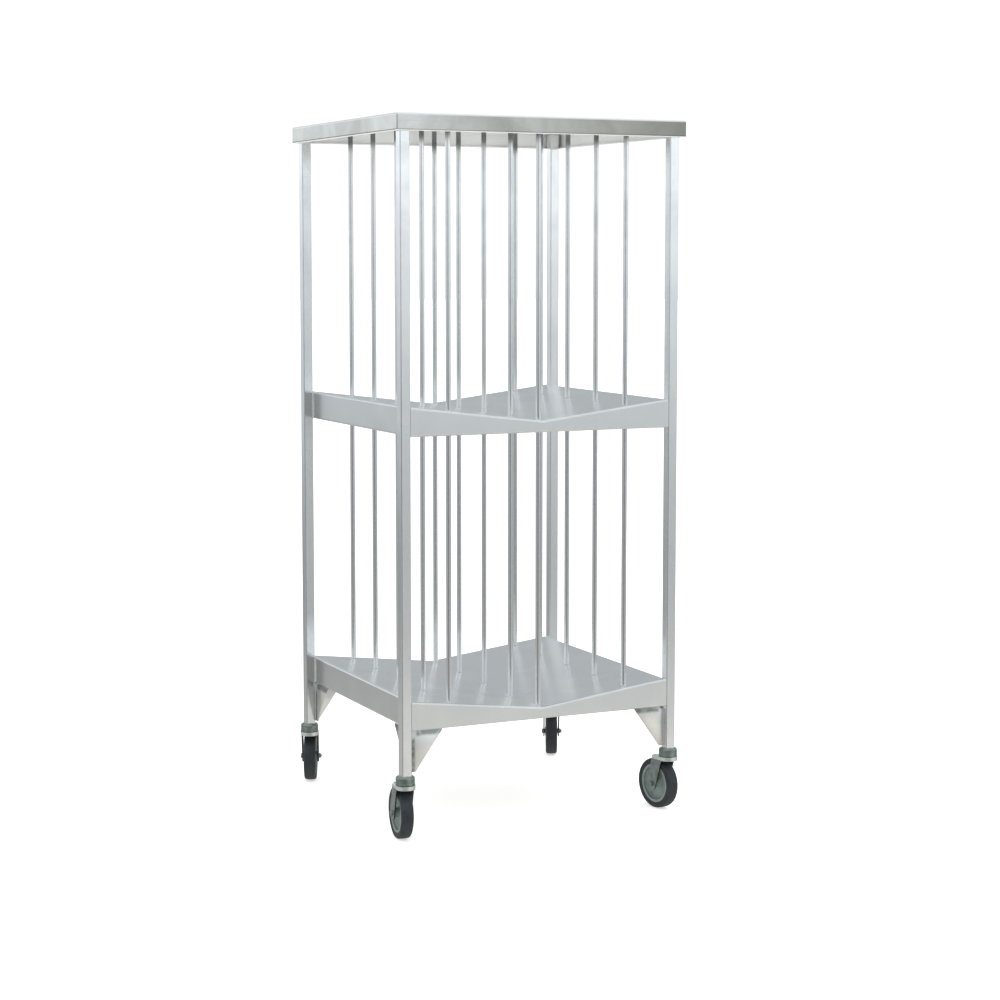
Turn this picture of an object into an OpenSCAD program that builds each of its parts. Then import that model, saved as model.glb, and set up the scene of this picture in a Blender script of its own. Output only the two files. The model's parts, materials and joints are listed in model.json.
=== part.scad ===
// Mobile tray storage rack: a welded square-tube frame with a folded top, two V-bottomed shelves,
// three rows of upright divider rods and four swivel stem casters.
// The origin is on the floor, midway between the four posts. +Z is up and the front faces -Y.

/* [Frame] */
// Width over the outer faces of the posts
frame_w = 743; // [660:1:860]
// Depth over the outer faces of the posts
frame_d = 683; // [670:1:860]
// Height of the top's upper face above the floor
rack_h = 1726; // [1650:1:1900]
// Height of the posts' lower ends above the floor
post_foot_z = 160; // [157:0.5:170]
// Outside width of the square post tube
post_w = 25.4; // [24:0.1:32]
// Wall of the post tube
post_wall = 2; // [1.6:0.1:2.2]
// Outside corner radius of the post tube
post_r = 2.8; // [2.6:0.1:4]

/* [Top] */
// How far the top reaches past the posts
top_over = 12.7; // [11:0.1:25]
// Height of the top's turned-down flange
top_flange_h = 41; // [30:0.5:60]
// Width of the return lip at the flange's foot, from the flange's outer face
top_lip_w = 10; // [6:0.5:11]
// Outside radius of the top's bends
top_bend_r = 4; // [3.5:0.5:6]
// Radius of the top's four upright corners, ground smooth after welding
top_corner_r = 3; // [1:0.5:5]

/* [Shelves] */
// Thickness of the sheet that the top and the shelves are folded from
sheet_t = 2.5; // [1.5:0.1:3]
// Height of the lower shelf's highest edge above the floor
lower_shelf_z = 340; // [320:1:400]
// Height from the lower shelf to the middle shelf
tier_h = 702; // [560:1:740]
// Height of a shelf's apron at its two ends
apron_h = 71; // [60:0.5:90]
// How far a shelf's valley lies below its highest edges
valley_depth = 42.5; // [20:0.5:46]
// Width of the return lip at the middle shelf's foot, from the apron's outer face
shelf_lip_w = 16; // [10:0.5:18]
// Outside radius of a shelf's bends
shelf_bend_r = 5; // [3.5:0.5:8]

/* [Divider rods] */
// Diameter of the divider rods
rod_d = 12.7; // [8:0.1:13]
// Distance between the columns of rods, across the rack
rod_column_pitch = 238; // [180:1:270]
// Distance between the rods of one column, from front to back
rod_row_pitch = 157; // [120:0.5:157]
// Clearance round a rod in its hole
rod_clearance = 0.2; // [0.1:0.05:0.5]
// How far a rod's foot reaches below the lower shelf's sheet
rod_foot = 2; // [1:0.5:4]

/* [Corner gussets] */
// How far a gusset's wings reach past the post
gusset_reach = 84; // [50:1:110]
// Thickness of the gusset plate
gusset_t = 3; // [2:0.1:4]
// Height of a gusset's blunt nose above the post's lower end
gusset_nose_z = 8; // [4:0.5:14]
// Width of a gusset's blunt nose
gusset_nose_w = 14; // [8:0.5:18]
// Height of a gusset's end, under the shelf
gusset_end_h = 4; // [2:0.5:10]

/* [Caster stems] */
// Radius of a caster's stem
stem_r = 6.35; // [5:0.05:8]
// Length of a stem inside its socket
stem_l = 32; // [25:0.5:40]
// Length of the socket plug inside the post
socket_l = 38; // [34:0.5:60]
// Clearance between the socket plug and the tube's inner faces
socket_clearance = 0.1; // [0.05:0.05:0.3]
// Radius of the stem's cup over the ball race
cup_r = 23; // [21:0.5:25]
// Wall of the cup's skirt
cup_wall = 2.4; // [1.5:0.1:3]
// Rounding of the cup's upper edge
cup_edge_r = 4; // [2:0.5:5]
// Radius of the kingpin that the fork turns on
kingpin_r = 6; // [4:0.1:7]
// Radius of the kingpin's riveted head
kingpin_head_r = 9; // [8:0.1:11]
// Height of the kingpin's riveted head
kingpin_head_h = 3.5; // [2:0.1:4]

/* [Ball race] */
// Number of balls in a caster's race
ball_count = 16; // [8:1:16]
// Radius of a ball
ball_r = 2.8; // [2.5:0.05:2.9]
// Radius of the ring of balls
ball_ring_r = 15.8; // [15.6:0.1:16.2]
// Height from the crown's face up to the balls' centres
ball_rise = 1.5; // [1.3:0.1:1.6]
// Clearance between a ball and the cup's groove above it
ball_clearance = 0.3; // [0.25:0.05:0.4]

/* [Caster fork] */
// Distance from the swivel axis back to the wheel's axle
caster_trail = 38; // [33:0.5:42]
// Clear width between the fork's legs
fork_gap = 38; // [37:0.5:41]
// Thickness of the fork's plate
fork_t = 3.2; // [2.5:0.1:3.6]
// Outside radius of the fork's shoulders
fork_shoulder_r = 8; // [5:0.5:9]
// Height of the fork's crown face above the floor
crown_z = 139; // [137:0.5:141]
// Radius of the fork's round crown
crown_r = 24.5; // [24:0.5:27]
// How far the crown's turned-down edge lies in front of the swivel axis
crown_front = 24; // [20:0.5:28]
// How far the crown and the legs reach behind the swivel axis
crown_back = 38; // [34:0.5:42]
// How far the turned-down edge reaches below the crown's face
crown_edge_h = 10; // [8:0.5:12]
// Radius of the round notch in the crown's rear edge, over the wheel
crown_notch_r = 12; // [10:0.5:13]
// How far the legs' front edges start behind the swivel axis
leg_setback = 0; // [-8:0.5:6]
// Radius of the inner corner between the turned-down edge and a leg
leg_fillet_r = 9; // [4:0.5:12]
// Radius of a leg's rounded lower end
leg_end_r = 16; // [12:0.5:18]

/* [Axle] */
// Radius of the axle bolt
axle_r = 4; // [3:0.05:4.5]
// Width across the flats of the bolt's head and the nut
hex_af = 12.7; // [11:0.1:14]
// Height of the bolt's head
bolt_head_h = 4.6; // [3:0.1:6]
// Height of the nut
nut_h = 5.6; // [4:0.1:7]
// How far the bolt's end stands out of the nut
bolt_end = 1.5; // [0.5:0.1:3]
// Outside radius of the bushing between the fork's legs
bushing_r = 6.3; // [5.5:0.05:7]
// Running clearance of the turning fits, measured on the radius
run_clearance = 0.05; // [0.02:0.01:0.09]
// Clearance at each end of the bushing and above the riveted head
end_clearance = 0.3; // [0.1:0.05:0.5]
// How much shorter the hub is than the bushing, at each end
hub_play = 1.2; // [0.5:0.1:2]

/* [Wheel] */
// Radius of the wheel over its tread
wheel_r = 63.5; // [61:0.1:63.7]
// Width of the tyre
tyre_w = 31; // [28:0.5:34]
// Radius of the tyre's rounded shoulders
tyre_shoulder_r = 5.5; // [3:0.5:7]
// How much lower the tread is at its shoulders than at its middle
tread_crown = 0.6; // [0.2:0.1:1.5]
// Radius of the core's rim, where the tyre begins
core_r = 48.5; // [44:0.5:52]
// Width of the core's rim
core_w = 27; // [24:0.5:27.5]
// Thickness of the core's rim
rim_t = 6.5; // [4:0.5:9]
// Thickness of the core's web
web_t = 7; // [5:0.5:10]
// How far the web flares where it meets the hub and the rim
web_flare = 4; // [1:0.5:5]
// Bevel on the edges of the hub, the rim and the rib
edge_bevel = 1; // [0.5:0.1:1.5]
// Radius of the core's hub
hub_r = 12; // [10:0.5:15]
// Height of the bevel where the tyre's side meets the core
tyre_bead_h = 2; // [1:0.5:4]
// How far the tyre's side steps out over that bevel
tyre_bead_step = 0.8; // [0.2:0.1:1.5]
// Height of the rib that holds the tyre on the core
tyre_rib_h = 2.5; // [1.5:0.1:4]
// Width of the rib that holds the tyre on the core
tyre_rib_w = 8; // [5:0.5:12]

/* [Caster headings] */
// Heading of the front left caster: degrees that it is turned from trailing straight back
heading_front_left = -7; // [-180:1:180]
// Heading of the front right caster
heading_front_right = 10; // [-180:1:180]
// Heading of the rear left caster
heading_rear_left = -24; // [-180:1:180]
// Heading of the rear right caster
heading_rear_right = -25; // [-180:1:180]

/* [Hidden] */
$fn = 64;
eps = 0.01;

// Each corner: its name, its side in X, its side in Y and its caster's heading
CORNERS = [
    ["front_left", -1, -1, heading_front_left],
    ["front_right", 1, -1, heading_front_right],
    ["rear_left", -1, 1, heading_rear_left],
    ["rear_right", 1, 1, heading_rear_right]
];
// Each column of divider rods: its name and its step from the middle
COLUMNS = [["left", -1], ["centre", 0], ["right", 1]];
// Rods in one column, numbered from the front
row_count = 5;
middle_row = (row_count + 1) / 2;

SHEET_NODES = ["top_panel", "middle_shelf", "lower_shelf"];
CORNER_NODES = [
    "post", "corner_gusset", "stem_socket", "caster_stem", "caster_ball_ring", "caster_fork",
    "caster_axle", "caster_bushing", "caster_wheel_core", "caster_tyre"
];

// The sheets
pan_w = frame_w - 2 * post_w;
pan_d = frame_d;
top_w = frame_w + 2 * top_over;
top_d = frame_d + 2 * top_over;
middle_shelf_z = lower_shelf_z + tier_h;
// The lower shelf's lip is as wide as a post, so the gussets stand under it
lower_lip_w = post_w;
slope = atan(valley_depth / (pan_w / 2));
valley_h = apron_h - valley_depth;
// The sloping deck's thickness, measured upright
deck_t = sheet_t / cos(slope);
under_top_z = rack_h - sheet_t;

// The casters
post_x = (frame_w - post_w) / 2;
post_y = (frame_d - post_w) / 2;
ball_z = crown_z + ball_rise;
race_z = ball_z + ball_rise;
crown_under_z = crown_z - fork_t;
skirt_z = crown_z + (race_z - crown_z) / 2;
leg_top_z = crown_z - crown_edge_h;
fork_out_w = fork_gap + 2 * fork_t;
bushing_l = fork_gap - 2 * end_clearance;
hub_w = bushing_l - 2 * hub_play;
hub_bore_r = bushing_r + run_clearance;
pin_bore_r = kingpin_r + run_clearance;
axle_bore_r = axle_r + run_clearance;
hex_r = hex_af / 2 / cos(30);
fit_gap = 0.05;

module rounded_rect(w, d, r) {
    square([w - 2 * r, d], center = true);
    square([w, d - 2 * r], center = true);
    for (x = [-1, 1]) for (y = [-1, 1]) translate([x * (w / 2 - r), y * (d / 2 - r)]) circle(r = r);
}

// A bar of profile(y, z) drawn along X, centred
module along_x(l) {
    translate([-l / 2, 0, 0]) rotate([90, 0, 90]) linear_extrude(l) children();
}

// A bar of profile(x, z) drawn along Y, centred
module along_y(l) {
    translate([0, l / 2, 0]) rotate([90, 0, 0]) linear_extrude(l) children();
}

// A block's profile standing on z = 0, with all four corners rounded
module block_profile(w, h, r) {
    translate([-w / 2 + r, 0]) square([w - 2 * r, h]);
    translate([-w / 2, r]) square([w, h - 2 * r]);
    for (x = [-1, 1]) for (z = [r, h - r]) translate([x * (w / 2 - r), z]) circle(r = r);
}

// Half of a shelf's cross-section, from its valley to its right side, with a rounded shoulder
module v_half_profile(w, valley, r, foot_z) {
    cx = w / 2 - r;
    cz = valley + cx * tan(slope) - r / cos(slope);
    polygon([
        [0, foot_z], [cx, foot_z], [w / 2, foot_z + r], [w / 2, cz], [cx, cz],
        [cx - r * sin(slope), cz + r * cos(slope)], [0, valley]
    ]);
    translate([cx, cz]) circle(r = r);
    translate([cx, foot_z + r]) circle(r = r);
}

// The two sloping halves of a shelf, with rounded front and back edges along the slope
module v_slopes(d, w, valley, r) {
    reach = w / 2 / cos(slope) + apron_h;
    for (s = [0, 1]) mirror([s, 0, 0]) intersection() {
        translate([0, 0, valley]) rotate([0, -slope, 0]) translate([reach / 2 - apron_h / 2, 0, 0])
            along_x(reach + apron_h) {
                translate([-d / 2, -2 * apron_h]) square([d, 2 * apron_h - r]);
                translate([-d / 2 + r, -r - eps]) square([d - 2 * r, r + eps]);
                for (y = [-1, 1]) translate([y * (d / 2 - r), -r]) circle(r = r);
            }
        translate([0, -d, -apron_h]) cube([w, 2 * d, 3 * apron_h]);
    }
}

// A solid of a shelf's outer or inner form: V-shaped above, flat below
module v_block(w, d, valley, r, foot_z) {
    intersection() {
        along_y(d) for (s = [0, 1]) mirror([s, 0]) v_half_profile(w, valley, r, foot_z);
        v_slopes(d, w, valley, r);
        translate([0, 0, foot_z]) along_x(w) block_profile(d, 2 * apron_h, r);
    }
}

// A folded shelf standing on z = 0: V-shaped deck, four aprons and a return lip round the foot.
// The rods' holes are cut from hole_z up.
module v_pan(lip_w, hole_z) {
    inner_w = pan_w - 2 * sheet_t;
    inner_d = pan_d - 2 * sheet_t;
    difference() {
        v_block(pan_w, pan_d, valley_h, shelf_bend_r, 0);
        v_block(inner_w, inner_d, valley_h - deck_t, shelf_bend_r - sheet_t, sheet_t);
        cube([pan_w - 2 * lip_w, pan_d - 2 * lip_w, 4 * sheet_t], center = true);
        for (c = COLUMNS) for (i = [1 : row_count]) translate([rod_x(c), rod_y(i), hole_z])
            cylinder(r = rod_d / 2 + rod_clearance, h = 2 * apron_h);
    }
}

function rod_x(c) = c[1] * rod_column_pitch;
function rod_y(i) = (i - middle_row) * rod_row_pitch;

module middle_shelf() {
    color("#B9BFC4") translate([0, 0, middle_shelf_z - apron_h])
        v_pan(shelf_lip_w, -sheet_t);
}

module lower_shelf() {
    color("#B0B7BA") translate([0, 0, lower_shelf_z - apron_h])
        v_pan(lower_lip_w, 2 * sheet_t);
}

// A flat block standing on z = 0, rounded where the sheet is bent and at its upright corners
module flat_block(w, d, h, bend_r, corner_r) {
    intersection() {
        along_y(d) block_profile(w, h, bend_r);
        along_x(w) block_profile(d, h, bend_r);
        linear_extrude(h) rounded_rect(w, d, corner_r);
    }
}

module top_panel() {
    color("#B4B6B2") translate([0, 0, rack_h - top_flange_h]) difference() {
        flat_block(top_w, top_d, top_flange_h, top_bend_r, top_corner_r);
        translate([0, 0, sheet_t]) flat_block(top_w - 2 * sheet_t, top_d - 2 * sheet_t,
            top_flange_h - 2 * sheet_t, top_bend_r - sheet_t, top_corner_r / 4);
        cube([top_w - 2 * top_lip_w, top_d - 2 * top_lip_w, 4 * sheet_t], center = true);
    }
}

module post(c) {
    color("#C3C6C6") translate([c[1] * post_x, c[2] * post_y, post_foot_z])
        linear_extrude(under_top_z - post_foot_z) difference() {
            rounded_rect(post_w, post_w, post_r);
            rounded_rect(post_w - 2 * post_wall, post_w - 2 * post_wall, post_r - post_wall);
        }
}

// A rod's foot goes through the lower shelf's deck and ends square below it
module divider_rod(c, i) {
    deck_z = lower_shelf_z - apron_h + valley_h + (abs(rod_x(c)) - rod_d / 2) * tan(slope);
    foot_z = deck_z - deck_t - rod_foot;
    color("#D5D9DA") translate([rod_x(c), rod_y(i), foot_z])
        cylinder(r = rod_d / 2, h = under_top_z - foot_z);
}

// One wing's outline, start_x from the post: long edge on top, blunt nose at the foot
module wing_profile(start_x) {
    h = lower_shelf_z - apron_h - post_foot_z - gusset_nose_z;
    polygon([
        [start_x, 0], [gusset_nose_w, 0], [gusset_reach, h - gusset_end_h], [gusset_reach, h], [start_x, h]
    ]);
}

// Two wings in an angle under the shelf's lip: one meets the middle of the post's inner face and
// runs along the front or back, and one runs along the side
module corner_gusset(c) {
    color("#BDC1C3") mirror_to_corner(c)
        translate([post_x - post_w / 2, post_y + gusset_t / 2, post_foot_z + gusset_nose_z]) {
            rotate([90, 0, 0]) linear_extrude(gusset_t) mirror([1, 0]) wing_profile(0);
            translate([-gusset_t, -post_w / 2 - gusset_t / 2, 0]) rotate([90, 0, 90])
                linear_extrude(gusset_t) mirror([1, 0]) wing_profile(-post_w / 2 - gusset_t / 2);
        }
}

// Mirrors a piece drawn at the rear right corner into corner c
module mirror_to_corner(c) {
    mirror([c[1] < 0 ? 1 : 0, 0, 0]) mirror([0, c[2] < 0 ? 1 : 0, 0]) children();
}

module stem_socket(c) {
    plug_w = post_w - 2 * post_wall - 2 * socket_clearance;
    color("#8F9492") translate([c[1] * post_x, c[2] * post_y, post_foot_z]) linear_extrude(socket_l)
        difference() {
            rounded_rect(plug_w, plug_w, post_r - post_wall);
            circle(r = stem_r + fit_gap);
        }
}

// Everything below a post's foot is drawn round the swivel axis, with the wheel trailing to +Y
module at_caster(c) {
    translate([c[1] * post_x, c[2] * post_y, 0]) rotate([0, 0, c[3]]) children();
}

module ball_groove(clearance) {
    translate([0, 0, ball_z]) rotate_extrude() translate([ball_ring_r, 0]) circle(r = ball_r + clearance);
}

// Stem, cup over the ball race, and kingpin with its riveted head, turned in one piece
module caster_stem(c) {
    tip = 1.5;
    edge_z = post_foot_z - cup_edge_r;
    color("#7F8A86") at_caster(c) difference() {
        union() {
            translate([0, 0, post_foot_z - eps]) cylinder(r = stem_r, h = stem_l - tip + eps);
            translate([0, 0, post_foot_z + stem_l - tip]) cylinder(r1 = stem_r, r2 = stem_r - tip, h = tip);
            rotate_extrude() {
                polygon([
                    [0, race_z], [cup_r - cup_wall, race_z], [cup_r - cup_wall, skirt_z],
                    [cup_r, skirt_z], [cup_r, edge_z], [cup_r - cup_edge_r, edge_z],
                    [cup_r - cup_edge_r, post_foot_z], [0, post_foot_z]
                ]);
                translate([cup_r - cup_edge_r, edge_z]) circle(r = cup_edge_r);
            }
            translate([0, 0, crown_under_z - end_clearance - kingpin_head_h]) {
                cylinder(r = kingpin_r, h = race_z - crown_under_z + end_clearance + kingpin_head_h + eps);
                cylinder(r1 = kingpin_head_r - tip, r2 = kingpin_head_r, h = tip);
                translate([0, 0, tip]) cylinder(r = kingpin_head_r, h = kingpin_head_h - tip);
            }
        }
        ball_groove(ball_clearance);
    }
}

module caster_ball_ring(c) {
    color("#D8DADA") at_caster(c) for (i = [0 : ball_count - 1]) rotate([0, 0, i * 360 / ball_count])
        translate([ball_ring_r, 0, ball_z]) sphere(r = ball_r);
}

// Direction from circle c to the point where a straight edge from p touches it, on either side
function touch_turn(p, c, r, side) = atan2(p[1] - c[1], p[0] - c[0]) + side * acos(r / norm(p - c));
function on_circle(c, r, turn) = c + r * [cos(turn), sin(turn)];

// The fork's side outline in (y, z): turned-down crown, and legs that sweep back to the axle
module fork_side() {
    axle_c = [caster_trail, wheel_r];
    leg_front = [leg_setback, leg_top_z];
    leg_back = [crown_back, leg_top_z];
    // The legs' straight edges end just inside the rounded end, so that no sliver is left there
    touch_r = leg_end_r - eps;
    front_touch = touch_turn(leg_front, axle_c, touch_r, 1);
    // The arc from the turned-down edge's foot into a leg's front edge, which leans back
    lean = front_touch - 180;
    run = leg_fillet_r * (1 - sin(lean)) / cos(lean);
    arc_c = [leg_setback - run, leg_top_z - leg_fillet_r];
    arc_steps = 8;
    polygon(concat(
        [[-crown_front, crown_z], [-crown_front, leg_top_z]],
        [for (i = [0 : arc_steps]) on_circle(arc_c, leg_fillet_r, 90 + (lean - 90) * i / arc_steps)],
        [on_circle(axle_c, touch_r, front_touch), axle_c,
         on_circle(axle_c, touch_r, touch_turn(leg_back, axle_c, touch_r, -1)),
         leg_back, [crown_back, crown_z]]
    ));
    translate(axle_c) circle(r = leg_end_r);
}

// A pressed plate: crown with a turned-down front edge and a notched rear edge, two legs, the ball
// groove and three bores
module caster_fork(c) {
    color("#A9B0AE") at_caster(c) difference() {
        union() {
            intersection() {
                difference() {
                    fork_channel(fork_out_w, crown_z, fork_shoulder_r, -crown_front);
                    fork_channel(fork_gap, crown_under_z, fork_shoulder_r - fork_t, -crown_front + fork_t);
                }
                along_x(2 * fork_out_w) fork_side();
            }
            translate([0, 0, crown_under_z]) cylinder(r = crown_r, h = fork_t);
        }
        translate([0, 0, crown_under_z - fork_t]) cylinder(r = pin_bore_r, h = 3 * fork_t);
        translate([0, crown_back + crown_notch_r / 3, crown_under_z - fork_t])
            cylinder(r = crown_notch_r, h = 3 * fork_t);
        ball_groove(fit_gap);
        translate([0, caster_trail, wheel_r]) rotate([0, 90, 0])
            cylinder(r = axle_bore_r, h = 2 * fork_out_w, center = true);
    }
}

// A channel's solid with rounded upper corners, from start_y back past the axle
module fork_channel(w, top_z, r, start_y) {
    l = caster_trail + 2 * leg_end_r - start_y;
    translate([0, start_y + l / 2, 0]) along_y(l) {
        translate([-w / 2, 0]) square([w, top_z - r]);
        translate([-w / 2 + r, 0]) square([w - 2 * r, top_z]);
        for (x = [-1, 1]) translate([x * (w / 2 - r), top_z - r]) circle(r = r);
    }
}

module on_axle(c) {
    at_caster(c) translate([0, caster_trail, wheel_r]) rotate([0, 90, 0]) children();
}

// The bolt, with its head on one side of the fork, and its nut on the other side
module caster_axle(c) {
    seat = fork_out_w / 2;
    color("#B9BDBD") on_axle(c) {
        translate([0, 0, -seat - bolt_head_h]) cylinder(r = hex_r, h = bolt_head_h, $fn = 6);
        translate([0, 0, -seat - eps]) cylinder(r = axle_r, h = 2 * seat + nut_h + bolt_end + eps);
        translate([0, 0, seat]) difference() {
            cylinder(r = hex_r, h = nut_h, $fn = 6);
            translate([0, 0, -nut_h]) cylinder(r = axle_r + fit_gap, h = 3 * nut_h);
        }
    }
}

module caster_bushing(c) {
    color("#C9A66B") on_axle(c) difference() {
        cylinder(r = bushing_r, h = bushing_l, center = true);
        cylinder(r = axle_bore_r, h = 2 * bushing_l, center = true);
    }
}

// Half of the core's section in (radius, width), from its bore out to the rib under the tyre
rim_in_r = core_r - rim_t;
CORE_HALF = [
    [hub_bore_r, hub_w / 2], [hub_r - edge_bevel, hub_w / 2], [hub_r, hub_w / 2 - edge_bevel],
    [hub_r, web_t / 2 + web_flare], [hub_r + web_flare, web_t / 2],
    [rim_in_r - web_flare, web_t / 2], [rim_in_r, web_t / 2 + web_flare],
    [rim_in_r, core_w / 2 - edge_bevel], [rim_in_r + edge_bevel, core_w / 2], [core_r, core_w / 2],
    [core_r, tyre_rib_w / 2], [core_r + tyre_rib_h, tyre_rib_w / 2 - edge_bevel]
];

// Half of the tyre's section: groove over the core's rib, bead, flared side and round shoulder
tyre_in_r = core_r + fit_gap;
groove_w = tyre_rib_w / 2 + fit_gap;
SHOULDER_C = [wheel_r - tread_crown - tyre_shoulder_r, tyre_w / 2 - tyre_shoulder_r];
TYRE_HALF = concat(
    [[tyre_in_r + tyre_rib_h, groove_w - edge_bevel], [tyre_in_r, groove_w], [tyre_in_r, core_w / 2],
     [tyre_in_r + tyre_bead_h, core_w / 2 + tyre_bead_step]],
    [for (a = [90 : -15 : 0]) SHOULDER_C + tyre_shoulder_r * [cos(a), sin(a)]]
);

// A ring turned from half a section, its mirror image and the points between the two
module turned_ring(half, between) {
    n = len(half);
    other_half = [for (i = [n - 1 : -1 : 0]) [half[i][0], -half[i][1]]];
    rotate_extrude($fn = 96) polygon(concat(half, between, other_half));
}

module caster_wheel_core(c) {
    color("#8E9994") on_axle(c) turned_ring(CORE_HALF, []);
}

module caster_tyre(c) {
    color("#2C3136") on_axle(c) turned_ring(TYRE_HALF, [[wheel_r, 0]]);
}

top_panel();
middle_shelf();
lower_shelf();
for (c = COLUMNS) for (i = [1 : row_count]) {
    divider_rod(c, i);
}
for (c = CORNERS) {
    post(c);
    corner_gusset(c);
    stem_socket(c);
    caster_stem(c);
    caster_ball_ring(c);
    caster_fork(c);
    caster_axle(c);
    caster_bushing(c);
    caster_wheel_core(c);
    caster_tyre(c);
}
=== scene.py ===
# Mobile tray storage rack: a welded aluminium frame on four swivel casters, on a pale studio floor.
import json
import math
import bmesh
import bpy
from mathutils import Matrix, Vector

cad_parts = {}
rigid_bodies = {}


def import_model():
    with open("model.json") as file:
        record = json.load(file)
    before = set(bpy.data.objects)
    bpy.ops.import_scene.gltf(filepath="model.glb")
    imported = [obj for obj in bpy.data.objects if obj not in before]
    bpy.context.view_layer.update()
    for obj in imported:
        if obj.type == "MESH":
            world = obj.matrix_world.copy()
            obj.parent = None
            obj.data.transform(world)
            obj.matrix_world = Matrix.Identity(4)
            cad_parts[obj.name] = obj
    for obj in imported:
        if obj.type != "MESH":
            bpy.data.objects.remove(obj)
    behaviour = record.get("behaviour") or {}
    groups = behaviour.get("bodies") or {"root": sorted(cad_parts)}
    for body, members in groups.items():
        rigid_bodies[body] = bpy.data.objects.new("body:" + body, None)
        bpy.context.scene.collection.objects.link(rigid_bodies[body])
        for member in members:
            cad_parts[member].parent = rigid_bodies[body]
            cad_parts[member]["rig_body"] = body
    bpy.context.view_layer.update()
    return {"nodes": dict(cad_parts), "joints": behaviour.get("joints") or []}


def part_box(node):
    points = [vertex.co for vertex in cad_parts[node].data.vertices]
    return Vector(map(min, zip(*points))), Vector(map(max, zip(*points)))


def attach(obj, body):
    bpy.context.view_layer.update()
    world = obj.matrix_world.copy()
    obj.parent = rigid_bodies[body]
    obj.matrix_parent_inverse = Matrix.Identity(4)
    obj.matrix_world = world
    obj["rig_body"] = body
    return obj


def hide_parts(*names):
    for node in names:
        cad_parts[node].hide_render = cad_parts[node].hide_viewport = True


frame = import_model()

MM = 0.001
CORNERS = {"front_left": (-1, -1), "front_right": (1, -1), "rear_left": (-1, 1), "rear_right": (1, 1)}
RODS = [name for name in sorted(frame["nodes"]) if name.startswith("divider_rod_")]

# Real sizes in metres: the frame's own, read from its nodes
post_low, post_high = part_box("post_rear_right")
POST_W = post_high.x - post_low.x
INNER_X = post_low.x
INNER_Y = post_low.y
OUTER_Y = post_high.y
UNDER_TOP_Z = post_high.z
MIDDLE_FOOT_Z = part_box("middle_shelf")[0].z
LOWER_FOOT_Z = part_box("lower_shelf")[0].z
GUSSET_FOOT_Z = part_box("corner_gusset_rear_right")[0].z
rod_low, rod_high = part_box("divider_rod_left_1")
ROD_R = (rod_high.x - rod_low.x) / 2

# Real sizes in metres that the nodes' boxes don't give
APRON_H = 71 * MM
VALLEY_DEPTH = 42.5 * MM
DECK_SLOPE = math.atan(VALLEY_DEPTH / INNER_X)
GUSSET_T = 3 * MM
AXLE_R = 4 * MM
HEX_AF = 12.7 * MM
BOLT_HEAD_H = 4.6 * MM
NUT_H = 5.6 * MM
BOLT_END = 1.5 * MM
FORK_OUT_W = 44.4 * MM
FORK_T = 3.2 * MM
CROWN_FOOT_Z = 129 * MM
CROWN_TOP_Z = 139 * MM
CROWN_R = 24.5 * MM


# Colour and nodes

def linear(code):
    """A hex sRGB colour as the linear colour that a shader takes."""
    parts = [int(code[i:i + 2], 16) / 255 for i in (1, 3, 5)]
    return [p / 12.92 if p <= 0.04045 else ((p + 0.055) / 1.055) ** 2.4 for p in parts] + [1.0]


def add(tree, kind, settings, links=None):
    """Adds a node. settings hold its properties and socket values, links the outputs wired to its sockets."""
    node = tree.nodes.new(kind)
    for name, value in settings.items():
        if isinstance(name, str) and name not in node.inputs:
            setattr(node, name, value)
        else:
            node.inputs[name].default_value = value
    for name, output in (links or {}).items():
        tree.links.new(output, node.inputs[name])
    return node


def new_material(name, settings):
    """A material with one principled shader. Returns it, its tree, the shader and the object coordinates."""
    material = bpy.data.materials.new(name)
    material.use_nodes = True
    tree = material.node_tree
    shader = tree.nodes["Principled BSDF"]
    for socket, value in settings.items():
        shader.inputs[socket].default_value = value
    place = add(tree, "ShaderNodeTexCoord", {}).outputs["Object"]
    return material, tree, shader, place


def work_on(material):
    """What a further finish needs of a material: its tree, shader, object coordinates and colour so far."""
    tree = material.node_tree
    shader = tree.nodes["Principled BSDF"]
    place = add(tree, "ShaderNodeTexCoord", {}).outputs["Object"]
    return tree, shader, place, shader.inputs["Base Color"].links[0].from_socket


def per_metre(size_mm):
    """The scale of a texture whose features are that many millimetres across."""
    return 1000 / size_mm


# Materials

# The marks of rolling and drawing run along a piece: the scale of their pattern along X, Y and Z
ALONG_X = (0.03, 1.0, 1.0)
ALONG_Z = (1.0, 1.0, 0.03)


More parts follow.
